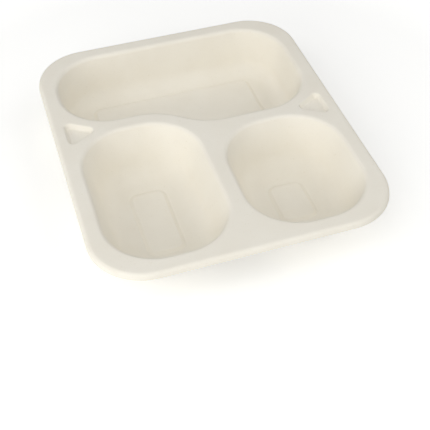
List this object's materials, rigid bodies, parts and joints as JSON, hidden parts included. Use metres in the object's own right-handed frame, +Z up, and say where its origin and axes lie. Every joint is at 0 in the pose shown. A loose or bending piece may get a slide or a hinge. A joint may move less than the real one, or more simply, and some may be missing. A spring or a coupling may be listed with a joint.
{
  "type": "compartment sealing tray",
  "caption": "Shallow rectangular meal tray pressed from plant fibre, with rounded compartments, raised floor pads, an offset cross divider and a flat rolled rim for a sealing film.",
  "frame": {"origin": "centre of the tray in plan, on the table plane under the floors", "axes": "+Z up out of the compartments, +Y along the tray towards its widest compartment, +X across the tray towards its shortest compartment"},
  "size_m": [0.213, 0.25, 0.038],
  "materials": {
    "fibre": "matte"
  },
  "bodies": {
    "root": {"tray": "fibre"}
  },
  "joints": []
}
